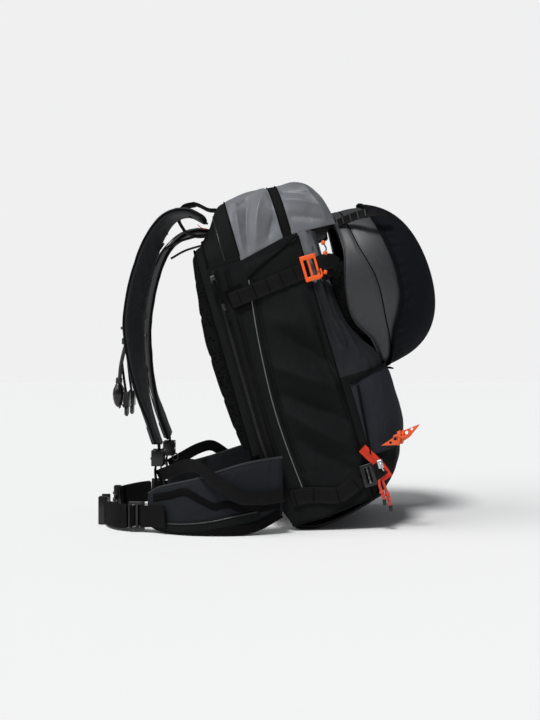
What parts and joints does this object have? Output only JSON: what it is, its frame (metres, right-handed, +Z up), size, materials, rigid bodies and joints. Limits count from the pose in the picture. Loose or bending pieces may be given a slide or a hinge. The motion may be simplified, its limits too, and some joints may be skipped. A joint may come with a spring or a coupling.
{
  "type": "avalanche airbag backpack",
  "caption": "Back-panel-access ski backpack with a folded airbag and electric blower in its top, shoulder harness, hip belt and a helmet carried in a stretch holder.",
  "frame": {"origin": "bottom centre of the whole object, on the floor it stands on", "axes": "+Z up, +X from the wearer to the front of the pack, -Y towards the wearer's left"},
  "size_m": [0.5567, 0.3754, 0.5595],
  "materials": {
    "charcoal_fabric": "matte woven nylon",
    "coated_fabric": "coated ripstop, satin sheen",
    "stretch_fabric": "matte stretch weave",
    "wing_fabric": "matte stretch face",
    "strap_fabric": "satin laminated foam face",
    "holder_fabric": "smooth stretch knit",
    "foam_mesh": "air mesh over foam",
    "black_webbing": "woven webbing",
    "black_plastic": "moulded, fine texture",
    "orange_metal": "satin anodised",
    "orange_plastic": "moulded, matte",
    "red_cord": "braided cord and tape",
    "helmet_shell": "matte painted",
    "helmet_foam": "matte foam and lining",
    "airbag_fabric": "coated nylon",
    "sheet_plastic": "moulded sheet",
    "aluminium": "satin",
    "power_plastic": "moulded case"
  },
  "bodies": {
    "pack": {"side_panel_left": "charcoal_fabric", "side_panel_right": "charcoal_fabric", "front_panel": "charcoal_fabric", "collar": "charcoal_fabric", "rear_hood": "coated_fabric", "hood_band": "black_webbing", "front_hood": "coated_fabric", "base_panel": "charcoal_fabric", "front_pocket": "stretch_fabric", "lumbar_panel": "charcoal_fabric", "lumbar_pad": "foam_mesh", "airbag_folded": "airbag_fabric", "blower_housing": "black_plastic", "power_unit": "power_plastic", "control_box": "black_plastic", "trigger_cable": "black_webbing", "upper_strap_left": "black_webbing", "upper_strap_right": "black_webbing", "lower_strap_left": "black_webbing", "lower_strap_right": "black_webbing", "haul_loop": "black_webbing", "holder_tail": "holder_fabric", "lower_webbing_left": "black_webbing", "lower_webbing_right": "black_webbing", "load_lifter_left": "black_webbing", "load_lifter_right": "black_webbing"},
    "back_door": {"back_pad": "foam_mesh", "frame_sheet": "sheet_plastic", "stay_left": "aluminium", "stay_right": "aluminium"},
    "back_zip": {"back_zip_slider": "black_plastic"},
    "impeller": {"impeller": "black_plastic"},
    "strap_left": {"shoulder_strap_left": "strap_fabric"},
    "strap_right": {"shoulder_strap_right": "strap_fabric"},
    "lock_left": {"ladder_lock_left": "black_plastic"},
    "lock_right": {"ladder_lock_right": "black_plastic"},
    "chest_left": {"chest_strap_left": "black_webbing"},
    "chest_right": {"chest_strap_right": "black_webbing"},
    "trigger": {"trigger_handle": "black_plastic"},
    "upper_hook_left": {"upper_hook_left": "orange_metal"},
    "upper_hook_right": {"upper_hook_right": "orange_metal"},
    "lower_hook_left": {"lower_hook_left": "black_plastic"},
    "lower_hook_right": {"lower_hook_right": "black_plastic"},
    "wing_left": {"hip_wing_left": "wing_fabric", "belt_adjuster_left": "black_plastic"},
    "wing_right": {"hip_wing_right": "wing_fabric", "belt_adjuster_right": "black_plastic"},
    "belt_left": {"belt_webbing_left": "black_webbing", "belt_buckle_left": "black_plastic"},
    "belt_right": {"belt_webbing_right": "black_webbing", "belt_buckle_right": "black_plastic"},
    "holder": {"helmet_shell": "helmet_shell", "helmet_liner": "helmet_foam", "helmet_holder": "holder_fabric", "chin_strap": "black_webbing", "ladder_strap_left": "black_webbing", "ladder_strap_right": "black_webbing"},
    "toggle": {"axe_toggle": "orange_plastic"},
    "safety_zip": {"safety_zip_slider": "aluminium"},
    "zip_cords": {"zip_pull_cords": "red_cord"}
  },
  "joints": [
    {"name": "back_panel_open", "type": "hinge", "parent": "pack", "child": "back_door", "pos_m": [-0.01973, 0, 0.11202], "axis": [0, -1, 0], "range_deg": [0, 7]},
    {"name": "back_zip_slide", "type": "slide", "parent": "pack", "child": "back_zip", "axis": [0.2756, 0, -0.9613], "range_m": [0, 0.23]},
    {"name": "impeller_spin", "type": "hinge", "parent": "pack", "child": "impeller", "pos_m": [0.00416, 0, 0.41327], "axis": [-0.2756, 0, 0.9613], "continuous": true},
    {"name": "strap_left_swing", "type": "hinge", "parent": "pack", "child": "strap_left", "pos_m": [-0.106, -0.076, 0.492], "axis": [0, 1, 0], "range_deg": [-6, 12], "deforming": ["lower_webbing_left", "load_lifter_left"]},
    {"name": "strap_right_swing", "type": "hinge", "parent": "pack", "child": "strap_right", "pos_m": [-0.106, 0.076, 0.492], "axis": [0, 1, 0], "range_deg": [-6, 12], "deforming": ["lower_webbing_right", "load_lifter_right"]},
    {"name": "lock_left_tilt", "type": "hinge", "parent": "strap_left", "child": "lock_left", "pos_m": [-0.18, -0.078, 0.119], "axis": [0, 1, 0], "range_deg": [-12, 12]},
    {"name": "lock_right_tilt", "type": "hinge", "parent": "strap_right", "child": "lock_right", "pos_m": [-0.18, 0.078, 0.119], "axis": [0, 1, 0], "range_deg": [-12, 12]},
    {"name": "chest_left_swing", "type": "hinge", "parent": "strap_left", "child": "chest_left", "pos_m": [-0.238, -0.036, 0.3], "axis": [0, 1, 0], "range_deg": [-8, 20]},
    {"name": "chest_right_swing", "type": "hinge", "parent": "strap_right", "child": "chest_right", "pos_m": [-0.238, 0.036, 0.3], "axis": [0, 1, 0], "range_deg": [-8, 20]},
    {"name": "trigger_pull", "type": "slide", "parent": "strap_left", "child": "trigger", "axis": [-0.35, 0, -0.9367], "range_m": [0, 0.05], "stiffness_N_per_m": 300},
    {"name": "upper_hook_left_turn", "type": "hinge", "parent": "pack", "child": "upper_hook_left", "pos_m": [0.05375, -0.1245, 0.40721], "axis": [0.2756, 0, -0.9613], "range_deg": [0, 60]},
    {"name": "upper_hook_right_turn", "type": "hinge", "parent": "pack", "child": "upper_hook_right", "pos_m": [0.05375, 0.1245, 0.40721], "axis": [-0.2756, 0, 0.9613], "range_deg": [0, 60]},
    {"name": "lower_hook_left_turn", "type": "hinge", "parent": "pack", "child": "lower_hook_left", "pos_m": [0.14499, -0.134, 0.08539], "axis": [0.2756, 0, -0.9613], "range_deg": [0, 60]},
    {"name": "lower_hook_right_turn", "type": "hinge", "parent": "pack", "child": "lower_hook_right", "pos_m": [0.14499, 0.134, 0.08539], "axis": [-0.2756, 0, 0.9613], "range_deg": [0, 60]},
    {"name": "wing_left_swing", "type": "hinge", "parent": "pack", "child": "wing_left", "pos_m": [0.02, -0.138, 0.05], "axis": [0, 0, 1], "range_deg": [-5, 15], "deforming": ["lower_webbing_left"]},
    {"name": "wing_right_swing", "type": "hinge", "parent": "pack", "child": "wing_right", "pos_m": [0.02, 0.138, 0.05], "axis": [0, 0, -1], "range_deg": [-5, 15], "deforming": ["lower_webbing_right"]},
    {"name": "belt_left_swing", "type": "hinge", "parent": "wing_left", "child": "belt_left", "pos_m": [-0.221, -0.133, 0.024], "axis": [0, 0, 1], "range_deg": [-10, 20]},
    {"name": "belt_right_swing", "type": "hinge", "parent": "wing_right", "child": "belt_right", "pos_m": [-0.221, 0.133, 0.024], "axis": [0, 0, -1], "range_deg": [-10, 20]},
    {"name": "holder_open", "type": "hinge", "parent": "pack", "child": "holder", "pos_m": [0.196, 0, 0.258], "axis": [0, 1, 0], "range_deg": [0, 45]},
    {"name": "toggle_swing", "type": "hinge", "parent": "pack", "child": "toggle", "pos_m": [0.201, -0.1385, 0.15], "axis": [0, 1, 0], "range_deg": [-30, 30]},
    {"name": "safety_zip_slide", "type": "slide", "parent": "pack", "child": "safety_zip", "axis": [0.365, 0, -0.931], "range_m": [0, 0.03]},
    {"name": "zip_cords_swing", "type": "hinge", "parent": "safety_zip", "child": "zip_cords", "pos_m": [0.172, -0.129, 0.088], "axis": [0, 1, 0], "range_deg": [-20, 20]}
  ]
}
